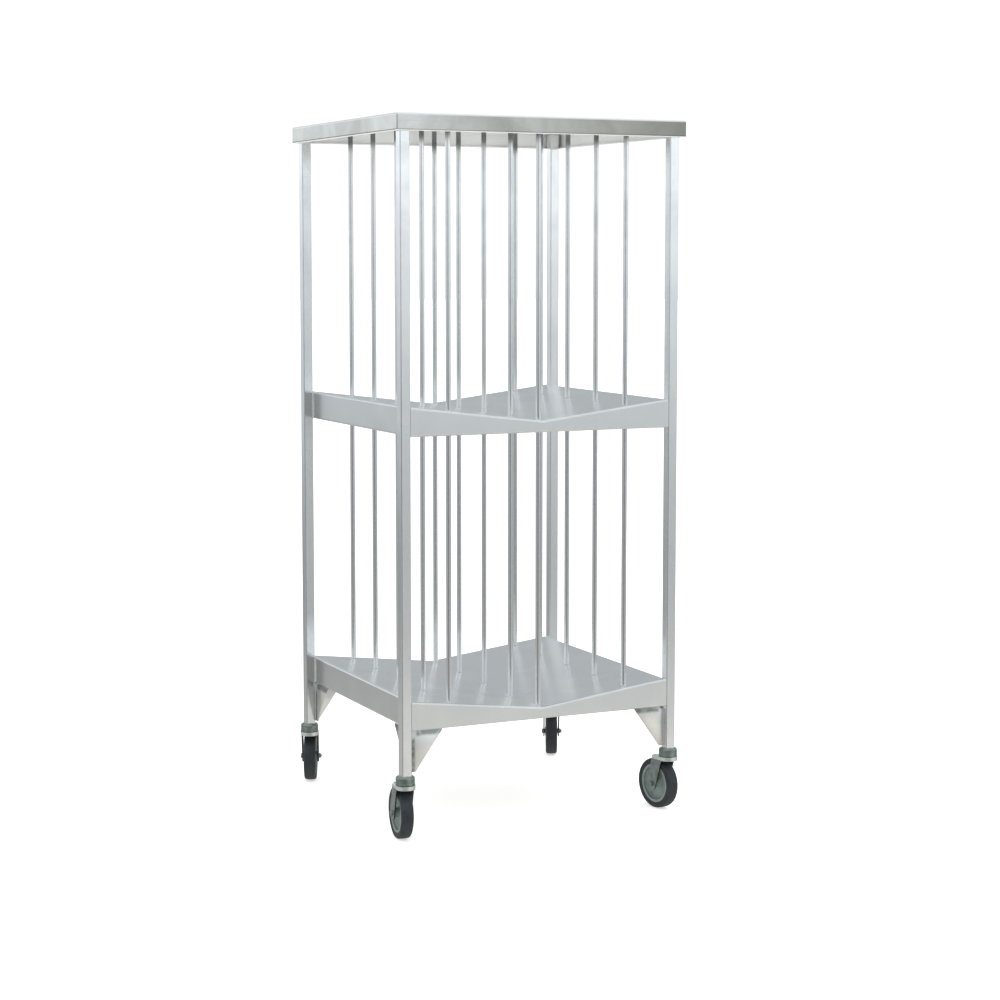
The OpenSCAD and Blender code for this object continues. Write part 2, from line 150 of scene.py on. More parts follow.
def rolled_aluminium(name, pale, dull, roughness, grain, smudge_mm=160):
    """Mill-finish aluminium: a soft sheen drawn out along the rolling direction, fine grain, cloudy handling
    marks. The real grain is about 0.1 mm wide and is drawn at 0.6 mm to show."""
    material, tree, shader, place = new_material(name, {"Metallic": 1.0})
    stretched = add(tree, "ShaderNodeMapping", {"Scale": grain}, {"Vector": place}).outputs["Vector"]
    lines = add(tree, "ShaderNodeTexNoise", {"Scale": per_metre(0.6), "Detail": 3.0, "Roughness": 0.6},
                {"Vector": stretched}).outputs["Fac"]
    smudges = add(tree, "ShaderNodeTexNoise", {"Scale": per_metre(smudge_mm), "Detail": 4.0,
                                               "Roughness": 0.55, "Distortion": 0.6}, {"Vector": place})
    scuffs = add(tree, "ShaderNodeTexNoise", {"Scale": per_metre(9), "Detail": 5.0, "Roughness": 0.7},
                 {"Vector": stretched})
    marks = add(tree, "ShaderNodeMapRange", {"From Min": 0.60, "From Max": 0.78},
                {"Value": scuffs.outputs["Fac"]})
    cloud = add(tree, "ShaderNodeMapRange", {"From Min": 0.34, "From Max": 0.68},
                {"Value": smudges.outputs["Fac"]}).outputs["Result"]
    tone = add(tree, "ShaderNodeMix", {"data_type": "RGBA", 6: linear(pale), 7: linear(dull)}, {0: cloud})
    scuffed = add(tree, "ShaderNodeMath", {"operation": "MULTIPLY", 1: 0.35}, {0: marks.outputs["Result"]})
    worn = add(tree, "ShaderNodeMix", {"data_type": "RGBA", 7: linear(dull)},
               {0: scuffed.outputs["Value"], 6: tone.outputs[2]})
    grained = add(tree, "ShaderNodeMapRange", {"From Min": 0.3, "From Max": 0.7, "To Min": roughness - 0.02,
                                               "To Max": roughness + 0.03}, {"Value": lines})
    clouded = add(tree, "ShaderNodeMath", {"operation": "MULTIPLY_ADD", 1: 0.05},
                  {0: cloud, 2: grained.outputs["Result"]})
    relief = add(tree, "ShaderNodeBump", {"Strength": 0.04, "Distance": 0.05 * MM}, {"Height": lines})
    tree.links.new(worn.outputs[2], shader.inputs["Base Color"])
    tree.links.new(clouded.outputs["Value"], shader.inputs["Roughness"])
    tree.links.new(relief.outputs["Normal"], shader.inputs["Normal"])
    return material


def top_sheet(name, half_w, half_d, height):
    """The top's sheet: its colour darkens from left to right, its upper bends carry a painted highlight, and
    its inner side, which no cloth reaches, keeps a pale bloom that scatters the light from below."""
    material = rolled_aluminium(name, "#CECECB", "#BABAB5", 0.20, ALONG_X)
    tree, shader, place, colour = work_on(material)
    # Across the whole sheet the colour is darkened towards the right
    across = add(tree, "ShaderNodeSeparateXYZ", {}, {"Vector": place}).outputs["X"]
    drift = add(tree, "ShaderNodeMapRange", {"From Min": -half_w, "From Max": half_w}, {"Value": across})
    dimmed = add(tree, "ShaderNodeMix", {"data_type": "RGBA", "blend_type": "MULTIPLY", 7: linear("#BCBBB3")},
                 {0: drift.outputs["Result"], 6: colour})
    size = add(tree, "ShaderNodeVectorMath", {"operation": "ABSOLUTE"}, {0: place}).outputs["Vector"]
    axes = add(tree, "ShaderNodeSeparateXYZ", {}, {"Vector": size}).outputs
    # Painted highlight: near the top of the sheet, along its upper bends, the colour is mixed towards near
    # white
    painted_highlight_band = add(tree, "ShaderNodeMapRange", {"From Min": height - 5.5 * MM, "From Max": height - 3 * MM},
                 {"Value": axes["Z"]})
    highlighted = add(tree, "ShaderNodeMix", {"data_type": "RGBA", 7: linear("#F6F6F3")},
                   {0: painted_highlight_band.outputs["Result"], 6: dimmed.outputs[2]})
    # The inner side lies more than 1 mm inside the sheet's outer faces, along all three axes
    within = [add(tree, "ShaderNodeMath", {"operation": "LESS_THAN", 1: reach - 1 * MM}, {0: axes[axis]})
              for axis, reach in (("X", half_w), ("Y", half_d), ("Z", height))]
    in_plan = add(tree, "ShaderNodeMath", {"operation": "MULTIPLY"},
                  {0: within[0].outputs["Value"], 1: within[1].outputs["Value"]})
    inner = add(tree, "ShaderNodeMath", {"operation": "MULTIPLY"},
                {0: in_plan.outputs["Value"], 1: within[2].outputs["Value"]}).outputs["Value"]
    bloomed = add(tree, "ShaderNodeMix", {"data_type": "RGBA", 7: linear("#DFE0DE")},
                  {0: inner, 6: highlighted.outputs[2]})
    metal = add(tree, "ShaderNodeMapRange", {"To Min": 1.0, "To Max": 0.1}, {"Value": inner})
    rough = add(tree, "ShaderNodeMix", {"data_type": "FLOAT", 3: 0.6},
                {0: inner, 2: shader.inputs["Roughness"].links[0].from_socket})
    tree.links.new(bloomed.outputs[2], shader.inputs["Base Color"])
    tree.links.new(metal.outputs["Result"], shader.inputs["Metallic"])
    tree.links.new(rough.outputs[0], shader.inputs["Roughness"])
    return material


def rod_finish_and_shade(name):
    """Drawn bar: bright and streaked along its length. Its upper end, under the top, is darkened with painted
    shade."""
    material = rolled_aluminium(name, "#F3F3F2", "#E6E7E8", 0.16, ALONG_Z, 90)
    tree, shader, place, colour = work_on(material)
    z = add(tree, "ShaderNodeSeparateXYZ", {}, {"Vector": place}).outputs["Z"]
    # Painted shade: the rod darkens towards its upper end, under the top
    upper = add(tree, "ShaderNodeMapRange", {"interpolation_type": "SMOOTHSTEP",
                                             "From Min": UNDER_TOP_Z - 66 * MM,
                                             "From Max": UNDER_TOP_Z - 34 * MM}, {"Value": z})
    shaded_under_top = add(tree, "ShaderNodeMix", {"data_type": "RGBA", "blend_type": "MULTIPLY", 7: linear("#8E9090")},
                 {0: upper.outputs["Result"], 6: colour})
    tree.links.new(shaded_under_top.outputs[2], shader.inputs["Base Color"])
    return material


def gusset_finish_and_shadow(name):
    """The gusset's plate: bright, with painted shadow under the shelf's edge and beside the left posts. The
    corner where both would meet is covered by bright weld metal."""
    material = rolled_aluminium(name, "#F6F6F2", "#E8E9E6", 0.30, ALONG_Z, 60)
    tree, shader, place, colour = work_on(material)
    size = add(tree, "ShaderNodeVectorMath", {"operation": "ABSOLUTE"}, {0: place}).outputs["Vector"]
    inward = add(tree, "ShaderNodeVectorMath", {"operation": "SUBTRACT", 0: (INNER_X, INNER_Y, LOWER_FOOT_Z)},
                 {1: size}).outputs["Vector"]
    axes = add(tree, "ShaderNodeSeparateXYZ", {}, {"Vector": inward}).outputs
    reach = add(tree, "ShaderNodeMath", {"operation": "MAXIMUM"}, {0: axes["X"], 1: axes["Y"]})
    # Each band is 0 at the first distance from the post or from the shelf's edge, and 1 at the second
    bands = []
    for value, none_mm, full_mm in ((reach.outputs["Value"], 10, 20), (axes["Z"], 18, 9),
                                    (reach.outputs["Value"], 15, 9), (axes["Z"], 12, 28)):
        band = add(tree, "ShaderNodeMapRange", {"interpolation_type": "SMOOTHSTEP",
                                                "From Min": none_mm * MM, "From Max": full_mm * MM},
                   {"Value": value})
        bands.append(band.outputs["Result"])
    past_post, at_edge, at_post, under_edge = bands
    # Painted shadow: the shelf's edge shades the plate just under it, and the left posts shade the plate
    # beside them
    edge_shadow = add(tree, "ShaderNodeMath", {"operation": "MULTIPLY"}, {0: past_post, 1: at_edge})
    post_shadow = add(tree, "ShaderNodeMath", {"operation": "MULTIPLY"}, {0: at_post, 1: under_edge})
    x = add(tree, "ShaderNodeSeparateXYZ", {}, {"Vector": place}).outputs["X"]
    is_left = add(tree, "ShaderNodeMath", {"operation": "LESS_THAN", 1: 0.0}, {0: x})
    left_post_shadow = add(tree, "ShaderNodeMath", {"operation": "MULTIPLY"},
                    {0: post_shadow.outputs["Value"], 1: is_left.outputs["Value"]})
    # The painted shadow of both, mottled by noise, darkens the plate's colour
    soot = add(tree, "ShaderNodeMath", {"operation": "MAXIMUM"},
               {0: edge_shadow.outputs["Value"], 1: left_post_shadow.outputs["Value"]})
    patches = add(tree, "ShaderNodeTexNoise", {"Scale": per_metre(12), "Detail": 3.0}, {"Vector": place})
    cover = add(tree, "ShaderNodeMapRange", {"From Min": 0.3, "From Max": 0.55, "To Min": 0.55},
                {"Value": patches.outputs["Fac"]})
    covered = add(tree, "ShaderNodeMath", {"operation": "MULTIPLY"},
                  {0: soot.outputs["Value"], 1: cover.outputs["Result"]})
    shadowed = add(tree, "ShaderNodeMix", {"data_type": "RGBA", "blend_type": "MULTIPLY", 7: linear("#A3A9A7")},
                {0: covered.outputs["Value"], 6: colour})
    tree.links.new(shadowed.outputs[2], shader.inputs["Base Color"])
    return material


def weld_aluminium():
    """Weld metal: brighter and rougher than the sheet, with a grey bloom of soot in its ripples."""
    material, tree, shader, place = new_material("weld_aluminium", {"Metallic": 1.0})
    bloom = add(tree, "ShaderNodeTexNoise", {"Scale": per_metre(5), "Detail": 4.0, "Roughness": 0.6},
                {"Vector": place}).outputs["Fac"]
    tone = add(tree, "ShaderNodeMix", {"data_type": "RGBA", 6: linear("#E9EBEB"), 7: linear("#C6CACB")},
               {0: bloom})
    rough = add(tree, "ShaderNodeMapRange", {"From Min": 0.3, "From Max": 0.7, "To Min": 0.34,
                                             "To Max": 0.52}, {"Value": bloom})
    tree.links.new(tone.outputs[2], shader.inputs["Base Color"])
    tree.links.new(rough.outputs["Result"], shader.inputs["Roughness"])
    return material


def plated_steel(name, pale, deep, roughness):
    """Zinc-plated pressed steel: a cool greenish grey, cloudy where the plating is thinner, with a fine grit
    of crystals. The crystals are about 0.2 mm and are drawn at 0.9 mm to show."""
    material, tree, shader, place = new_material(name, {"Metallic": 1.0})
    cloud = add(tree, "ShaderNodeTexNoise", {"Scale": per_metre(14), "Detail": 3.0, "Roughness": 0.55},
                {"Vector": place})
    crystals = add(tree, "ShaderNodeTexVoronoi", {"Scale": per_metre(0.9)},
                   {"Vector": place}).outputs["Distance"]
    depth = add(tree, "ShaderNodeMapRange", {"From Min": 0.35, "From Max": 0.65},
                {"Value": cloud.outputs["Fac"]})
    tone = add(tree, "ShaderNodeMix", {"data_type": "RGBA", 6: linear(pale), 7: linear(deep)},
               {0: depth.outputs["Result"]})
    rough = add(tree, "ShaderNodeMapRange", {"To Min": roughness - 0.05, "To Max": roughness + 0.08},
                {"Value": crystals})
    relief = add(tree, "ShaderNodeBump", {"Strength": 0.08, "Distance": 0.04 * MM}, {"Height": crystals})
    tree.links.new(tone.outputs[2], shader.inputs["Base Color"])
    tree.links.new(rough.outputs["Result"], shader.inputs["Roughness"])
    tree.links.new(relief.outputs["Normal"], shader.inputs["Normal"])
    return material


def fork_finish_and_light(name):
    """The fork's plating: dull on the legs, darkened with painted shade on faces that don't face along X, and
    made bright on the crown and its turned-down edge as a painted highlight."""
    material = plated_steel(name, "#9FAAA6", "#828E8A", 0.32)
    tree, shader, place, colour = work_on(material)
    z = add(tree, "ShaderNodeSeparateXYZ", {}, {"Vector": place}).outputs["Z"]
    # Painted highlight: everything above the crown's foot is mixed towards near white
    crown_highlight = add(tree, "ShaderNodeMapRange", {"From Min": CROWN_FOOT_Z - 1 * MM,
                                           "From Max": CROWN_FOOT_Z + 1 * MM}, {"Value": z})
    # Painted shade: faces whose normal does not lie along X are darkened
    normal = add(tree, "ShaderNodeTexCoord", {}).outputs["Normal"]
    facing = add(tree, "ShaderNodeVectorMath", {"operation": "ABSOLUTE"}, {0: normal}).outputs["Vector"]
    sideways = add(tree, "ShaderNodeSeparateXYZ", {}, {"Vector": facing}).outputs["X"]
    shade_off_x = add(tree, "ShaderNodeMapRange", {"From Min": 0.80, "From Max": 0.65}, {"Value": sideways})
    edge_shaded = add(tree, "ShaderNodeMix", {"data_type": "RGBA", "blend_type": "MULTIPLY", 7: linear("#868D8B")},
                {0: shade_off_x.outputs["Result"], 6: colour})
    crown_highlighted = add(tree, "ShaderNodeMix", {"data_type": "RGBA", 7: linear("#EAEFE8")},
                 {0: crown_highlight.outputs["Result"], 6: edge_shaded.outputs[2]})
    tree.links.new(crown_highlighted.outputs[2], shader.inputs["Base Color"])
    return material


def turned_metal(name, pale, deep, roughness):
    """Turned or ground metal on small parts: fine tool marks read as a slight change of roughness."""
    material, tree, shader, place = new_material(name, {"Metallic": 1.0})
    marks = add(tree, "ShaderNodeTexNoise", {"Scale": per_metre(1.2), "Detail": 3.0, "Roughness": 0.6},
                {"Vector": place}).outputs["Fac"]
    tone = add(tree, "ShaderNodeMix", {"data_type": "RGBA", 6: linear(pale), 7: linear(deep)}, {0: marks})
    rough = add(tree, "ShaderNodeMapRange", {"From Min": 0.3, "From Max": 0.7, "To Min": roughness - 0.05,
                                             "To Max": roughness + 0.07}, {"Value": marks})
    tree.links.new(tone.outputs[2], shader.inputs["Base Color"])
    tree.links.new(rough.outputs["Result"], shader.inputs["Roughness"])
    return material


def moulded_plastic(name, pale, deep, roughness):
    """Moulded polyolefin: matt, evenly coloured through, with a fine spark-eroded texture of about 0.3 mm,
    drawn at 0.8 mm to show, and floor dust that dulls it in patches."""
    material, tree, shader, place = new_material(name, {"IOR": 1.49})
    dust = add(tree, "ShaderNodeTexNoise", {"Scale": per_metre(22), "Detail": 5.0, "Roughness": 0.6},
               {"Vector": place})
    grit = add(tree, "ShaderNodeTexNoise", {"Scale": per_metre(0.8), "Detail": 2.0}, {"Vector": place})
    cover = add(tree, "ShaderNodeMapRange", {"From Min": 0.35, "From Max": 0.7},
                {"Value": dust.outputs["Fac"]}).outputs["Result"]
    tone = add(tree, "ShaderNodeMix", {"data_type": "RGBA", 6: linear(deep), 7: linear(pale)}, {0: cover})
    rough = add(tree, "ShaderNodeMapRange", {"To Min": roughness - 0.05, "To Max": roughness + 0.08},
                {"Value": cover})
    relief = add(tree, "ShaderNodeBump", {"Strength": 0.25, "Distance": 0.06 * MM},
                 {"Height": grit.outputs["Fac"]})
    tree.links.new(tone.outputs[2], shader.inputs["Base Color"])
    tree.links.new(rough.outputs["Result"], shader.inputs["Roughness"])
    tree.links.new(relief.outputs["Normal"], shader.inputs["Normal"])
    return material


def seamless_paper():
    """White paper on a light table: matt, with the faintest mottling, and lit from below so that shadows stay
    faint."""
    material, tree, shader, place = new_material("seamless_paper", {"Roughness": 0.9, "IOR": 1.3,
                                                                    "Emission Strength": 0.5,
                                                                    "Emission Color": (1, 1, 1, 1)})
    fibres = add(tree, "ShaderNodeTexNoise", {"Scale": per_metre(400), "Detail": 3.0}, {"Vector": place})
    tone = add(tree, "ShaderNodeMix", {"data_type": "RGBA", 6: linear("#F7F7F6"), 7: linear("#FAFAFA")},
               {0: fibres.outputs["Fac"]})
    tree.links.new(tone.outputs[2], shader.inputs["Base Color"])
    return material


MATERIALS = {
    "top_sheet": top_sheet("mill_finish_top_sheet", *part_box("top_panel")[1]),
    "shelf_sheet": rolled_aluminium("mill_finish_shelf_sheet", "#ECEDEC", "#E2E4E5", 0.21, ALONG_X),
    "post_tube": rolled_aluminium("extruded_square_tube", "#F3F3F2", "#E6E8E9", 0.17, ALONG_Z, 120),
    "rod_bar": rod_finish_and_shade("drawn_round_bar"),
    "gusset_plate": gusset_finish_and_shadow("sheared_gusset_plate"),
    "weld": weld_aluminium(),
    "socket_insert": turned_metal("turned_aluminium_insert", "#B4B8B7", "#8F9492", 0.34),
    "caster_zinc": plated_steel("zinc_plated_cup", "#9BA7A0", "#7F8B85", 0.34),
    "fork_zinc": fork_finish_and_light("zinc_plated_fork"),
    "bearing_steel": turned_metal("ground_ball_steel", "#E0E2E3", "#CFD2D3", 0.12),
    "axle_steel": turned_metal("zinc_plated_bolt", "#A3ABA8", "#848C89", 0.30),
    "bushing_bronze": turned_metal("sintered_bronze", "#C9A66B", "#A98648", 0.38),
    "wheel_core": moulded_plastic("grey_polyolefin_core", "#828E89", "#6D7975", 0.5),
    "tyre_rubber": moulded_plastic("grey_thermoplastic_rubber", "#292E33", "#1B2026", 0.55),
}
SLOTS = {
    "top_panel": "top_sheet", "middle_shelf": "shelf_sheet", "lower_shelf": "shelf_sheet",
    "divider_rod": "rod_bar", "post": "post_tube", "corner_gusset": "gusset_plate",
    "stem_socket": "socket_insert", "caster_stem": "caster_zinc", "caster_ball_ring": "bearing_steel",
    "caster_fork": "fork_zinc", "caster_axle": "axle_steel", "caster_bushing": "bushing_bronze",
    "caster_wheel_core": "wheel_core", "caster_tyre": "tyre_rubber",
}
for node_name, part in frame["nodes"].items():
    slot_name = next(SLOTS[start] for start in SLOTS if node_name.startswith(start))
    part.data.materials.clear()
    part.data.materials.append(MATERIALS[slot_name])


# Modelling

# A face looks along an axis when its normal has more than this along it
FACING = 0.9
# Faces that meet at less than this are shaded as one
SMOOTH_BELOW = math.radians(35)


def deselect():
    bpy.ops.object.select_all(action="DESELECT")


def begin(name):
    """Names the primitive that was just added and opens it in edit mode."""
    piece = bpy.context.active_object
    piece.name = name
    piece.data.name = name
    bpy.ops.object.mode_set(mode="EDIT")
    return piece


def select(kind, test):
    """In edit mode, selects only the vertices, edges or faces that pass the test."""
    bpy.ops.mesh.select_mode(type=kind)
    bpy.ops.mesh.select_all(action="DESELECT")
    mesh = bpy.context.active_object.data
    form = bmesh.from_edit_mesh(mesh)
    items = {"VERT": form.verts, "EDGE": form.edges, "FACE": form.faces}[kind]
    for item in items:
        item.select_set(bool(test(item)))
    form.select_flush_mode()
    bmesh.update_edit_mesh(mesh)


def everything():
    """In edit mode, selects the whole mesh."""
    bpy.ops.mesh.select_all(action="SELECT")


def draw_out(height, before, after):
    """In edit mode, extrudes what is selected upward by a height and brings it from one width to another."""
    bpy.ops.mesh.extrude_region_move(TRANSFORM_OT_translate={"value": (0, 0, height)})
    bpy.ops.transform.resize(value=(after / before, after / before, 1))


def finish_form():
    """Turns all faces outwards and leaves edit mode."""
    everything()
    bpy.ops.mesh.normals_make_consistent(inside=False)
    bpy.ops.object.mode_set(mode="OBJECT")


def modify(piece, kind, **settings):
    """Adds a modifier and applies it."""
    bpy.context.view_layer.objects.active = piece
    modifier = piece.modifiers.new(kind.lower(), kind)
    for name, value in settings.items():
        setattr(modifier, name, value)
    bpy.ops.object.modifier_apply(modifier=modifier.name)


def drop(piece):
    bpy.data.objects.remove(piece)


def combine(piece, other, operation):
    """Joins, cuts or limits a piece by another, which is used up."""
    modify(piece, "BOOLEAN", operation=operation, object=other, solver="EXACT")
    drop(other)


def dress(piece, body, slot_name):
    """Puts a finished piece's place into its mesh, shades it, and gives it its material and its body."""
    deselect()
    piece.select_set(True)
    bpy.context.view_layer.objects.active = piece
    bpy.ops.object.transform_apply(location=True, rotation=True, scale=True)
    bpy.ops.object.shade_smooth_by_angle(angle=SMOOTH_BELOW)
    piece.data.materials.clear()
    piece.data.materials.append(MATERIALS[slot_name])
    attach(piece, body)


def copy_of(piece, name, matrix):
    """A copy with its own mesh, put in place by the matrix."""
    twin = piece.copy()
    twin.data = piece.data.copy()
    twin.name = name
    twin.data.name = name
    bpy.context.scene.collection.objects.link(twin)
    twin.data.transform(matrix)
    if matrix.determinant() < 0:
        twin.data.flip_normals()
    return twin


def join(pieces, name):
    """Joins pieces into one."""
    deselect()
    for piece in pieces:
        piece.select_set(True)
    bpy.context.view_layer.objects.active = pieces[0]
    bpy.ops.object.join()
    bpy.ops.object.transform_apply(location=True, rotation=True, scale=True)
    pieces[0].name = name
    pieces[0].data.name = name
    return pieces[0]


def cylinder_piece(name, radius, low, high):
    """An upright cylinder about the Z axis."""
    deselect()
    bpy.ops.mesh.primitive_cylinder_add(vertices=64, radius=radius, depth=high - low,
                                        location=(0, 0, (low + high) / 2))
    piece = bpy.context.active_object
    piece.name = name
    return piece


def block_piece(name, low, high):
    """A block between two corners."""
    deselect()
    bpy.ops.mesh.primitive_cube_add(size=1, location=[(a + b) / 2 for a, b in zip(low, high)])
    piece = begin(name)
    everything()
    bpy.ops.transform.resize(value=[b - a for a, b in zip(low, high)])
    bpy.ops.object.mode_set(mode="OBJECT")
    return piece


# Welds

SIDE_BEAD_R = 3.0 * MM
GROUND_BEAD_R = 1.9 * MM
GUSSET_BEAD_R = 2.6 * MM
RIPPLE = 2.2 * MM
RIPPLE_WAIST = 0.86
BEAD_TIP = 0.55
BEAD_END_GAP = 2 * MM
SHOULDER_R = 5 * MM
TOP_FILLET_LEG = 3 * MM
TOP_FILLET_ROUNDING = 5 * MM


def bead(name, x, y, low, high, radius):
    """An upright weld bead of overlapping ripples, drawn in at both ends."""
    deselect()
    bpy.ops.mesh.primitive_circle_add(vertices=10, radius=radius, fill_type="NGON", location=(x, y, low))
    piece = begin(name)
    everything()
    steps = 2 * round((high - low) / RIPPLE)
    widths = [BEAD_TIP] + [1.0 if step % 2 else RIPPLE_WAIST for step in range(1, steps)] + [BEAD_TIP]
    bpy.ops.transform.resize(value=(BEAD_TIP, BEAD_TIP, 1))
    for before, after in zip(widths, widths[1:]):
        draw_out((high - low) / steps, before, after)
    finish_form()
    return piece


def post_top_fillet(name):
    """The fillet weld round a post's upper end, under the top sheet."""
    middle = (INNER_X + POST_W / 2, INNER_Y + POST_W / 2)
    # Widths at the sheet, just past half way down and at the foot, which make a hollow fillet
    foot, waist, tip = [POST_W + 2 * TOP_FILLET_LEG * share for share in (1, 0.4, 0.02)]
    deselect()
    bpy.ops.mesh.primitive_plane_add(size=foot, location=(*middle, UNDER_TOP_Z))
    piece = begin(name)
    everything()
    bpy.ops.mesh.bevel(offset=TOP_FILLET_ROUNDING, segments=5, affect="VERTICES")
    for height, before, after in ((0.55 * TOP_FILLET_LEG, foot, waist), (0.45 * TOP_FILLET_LEG, waist, tip)):
        select("FACE", lambda face: True)
        draw_out(-height, before, after)
    finish_form()
    return piece


def apron_foot_weld(name):
    """The heavy triangular weld in the corner under the lower apron's end, against the post."""
    run, fall, thick = 9 * MM, 11 * MM, 3.5 * MM
    inset, sink, rounding = 1.2 * MM, 1 * MM, 0.8 * MM
    far_end_rise = 0.82 * fall
    middle = (INNER_X - run / 2 + sink, OUTER_Y - inset - thick / 2, LOWER_FOOT_Z - fall / 2 + sink)
    deselect()
    bpy.ops.mesh.primitive_cube_add(size=1, location=middle)
    piece = begin(name)
    everything()
    bpy.ops.transform.resize(value=(run, thick, fall))
    select("VERT", lambda vert: vert.co.x < 0 and vert.co.z < 0)
    bpy.ops.transform.translate(value=(0, 0, far_end_rise))
    everything()
    bpy.ops.mesh.bevel(offset=rounding, segments=3, affect="EDGES")
    finish_form()
    return piece


def corner_welds():
    """All welds of the rear right corner: shelves to post, gusset to post and post to top."""
    rows = []
    for foot in (MIDDLE_FOOT_Z, LOWER_FOOT_Z):
        low, top = foot + BEAD_END_GAP, foot + APRON_H - SHOULDER_R
        rows.append(bead("side_seam", INNER_X, INNER_Y, low, top, SIDE_BEAD_R))
        rows.append(bead("ground_seam", INNER_X, OUTER_Y - GROUND_BEAD_R, low, top, GROUND_BEAD_R))
    low, top = GUSSET_FOOT_Z + BEAD_END_GAP, LOWER_FOOT_Z - BEAD_END_GAP
    wing_y = INNER_Y + POST_W / 2
    for face_y in (wing_y - GUSSET_T / 2, wing_y + GUSSET_T / 2):
        rows.append(bead("wing_seam", INNER_X, face_y, low, top, GUSSET_BEAD_R))
    rows.append(bead("side_wing_seam", INNER_X, INNER_Y, low, top, GUSSET_BEAD_R))
    rows.append(post_top_fillet("top_fillet"))
    rows.append(apron_foot_weld("foot_weld"))
    return join(rows, "corner_welds_rear_right")


first_corner = corner_welds()
dress(first_corner, "rack", "weld")
for corner, (side, end) in CORNERS.items():
    if corner != "rear_right":
        twin = copy_of(first_corner, "corner_welds_" + corner, Matrix.Diagonal((side, end, 1, 1)))
        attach(twin, "rack")

# Round each rod runs a ring of weld metal. Every other section of it is pressed a little wider and flatter,
# so that it looks laid by hand.
RING_FACETS = 8
RING_PRESS = (1.012, 1.012, 0.9)
RING_OUTSIDE = 0.2
RING_LIFT = 0.2 * MM
DECK_RING_R = 1.3 * MM
TOP_RING_R = 1.8 * MM


def ring_weld(x, y, z, lean, radius):
    """A small round weld about a rod. lean is the slope of the sheet that it lies on."""
    deselect()
    bpy.ops.mesh.primitive_torus_add(major_radius=ROD_R + radius * RING_OUTSIDE, minor_radius=radius,
                                     major_segments=28, minor_segments=RING_FACETS, location=(x, y, z),
                                     rotation=(0, lean, 0))
    piece = begin("ring")
    select("VERT", lambda vert: vert.index % (2 * RING_FACETS) < RING_FACETS)
    bpy.ops.transform.resize(value=RING_PRESS)
    bpy.ops.object.mode_set(mode="OBJECT")
    return piece


def deck_height(foot, x):
    """Height of a shelf's sloping deck at x."""
    return foot + APRON_H - VALLEY_DEPTH + abs(x) * math.tan(DECK_SLOPE)


rod_places = []
for rod in RODS:
    low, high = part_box(rod)
    rod_places.append(((low.x + high.x) / 2, (low.y + high.y) / 2))
for shelf, foot in (("middle_shelf", MIDDLE_FOOT_Z), ("lower_shelf", LOWER_FOOT_Z)):
    rings = []
    for x, y in rod_places:
        lean = 0 if abs(x) < ROD_R else math.copysign(DECK_SLOPE, -x)
        rings.append(ring_weld(x, y, deck_height(foot, x) + RING_LIFT, lean, DECK_RING_R))
    rod_welds = join(rings, "rod_welds_" + shelf)
    dress(rod_welds, "rack", "weld")
rings = [ring_weld(x, y, UNDER_TOP_Z, 0, TOP_RING_R) for x, y in rod_places]
rod_top_welds = join(rings, "rod_welds_top_panel")
dress(rod_top_welds, "rack", "weld")


# Pressed and sheared plates: copies of the frame's plates with their sharp edges rolled over

ROLLED_EDGE_R = 0.5 * MM
SHARP_EDGE = math.radians(32)
FLAT_JOINT = math.radians(1.5)
SAME_POINT = 0.005 * MM


def rolled_copy(node, name, shape=None):
    """A copy of a plate with its facets merged and its sharp edges rolled over. shape works on the copy
    before its edges are rolled."""
    source = frame["nodes"][node]
    deselect()
    piece = copy_of(source, name, Matrix.Identity(4))
    # The copy drops the frame's labels, because it is a piece of its own
    for key in [key for key in piece.keys() if key.startswith("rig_")]:
        del piece[key]
    piece.parent = None
    piece.select_set(True)
    bpy.context.view_layer.objects.active = piece
    bpy.ops.mesh.customdata_custom_splitnormals_clear()
    bpy.ops.object.mode_set(mode="EDIT")
    everything()
    bpy.ops.mesh.remove_doubles(threshold=SAME_POINT)
    bpy.ops.mesh.dissolve_limited(angle_limit=FLAT_JOINT)
    bpy.ops.object.mode_set(mode="OBJECT")
    if shape:
        shape(piece)
    modify(piece, "BEVEL", width=ROLLED_EDGE_R, segments=2, limit_method="ANGLE", angle_limit=SHARP_EDGE)
    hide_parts(node)
    return piece, source["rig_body"]


def joint_of(child):
    """The joint that carries a body."""
    return next(joint for joint in frame["joints"] if joint["child"] == child)


def heading(corner):
    """A caster's turn about the upright axis, in radians."""
    axis = joint_of("wheel_" + corner)["axis"]
    return math.atan2(axis[1], axis[0])


def round_nose(corner):
    """Works on a fork: rounds the front of the crown's turned-down edge in plan, as the press die does."""
    swivel = joint_of("swivel_" + corner)["pos_m"]
    place = Matrix.Translation((swivel[0], swivel[1], 0)) @ Matrix.Rotation(heading(corner), 4, "Z")
    nose_y = -math.sqrt(CROWN_R ** 2 - (FORK_OUT_W / 2) ** 2)

    def shape(fork):
        ring = cylinder_piece("ring", CROWN_R, CROWN_FOOT_Z, CROWN_TOP_Z - FORK_T / 2)
        combine(ring, cylinder_piece("bore", CROWN_R - FORK_T, 0, 1), "DIFFERENCE")
        combine(ring, block_piece("half", (-1, -1, 0), (1, nose_y, 1)), "INTERSECT")
        keep = cylinder_piece("keep", CROWN_R, 0, 1)
        combine(keep, block_piece("rest", (-1, nose_y, -1), (1, 1, 2)), "UNION")
        for tool in (ring, keep):
            tool.data.transform(place @ tool.matrix_world)
            tool.matrix_world = Matrix.Identity(4)
        combine(fork, keep, "INTERSECT")
        combine(fork, ring, "UNION")
    return shape


for corner in CORNERS:
    gusset, body = rolled_copy("corner_gusset_" + corner, "gusset_plate_" + corner)
    dress(gusset, body, "gusset_plate")
    fork, body = rolled_copy("caster_fork_" + corner, "fork_pressing_" + corner, round_nose(corner))
    dress(fork, body, "fork_zinc")


# Axle bolts and lock nuts

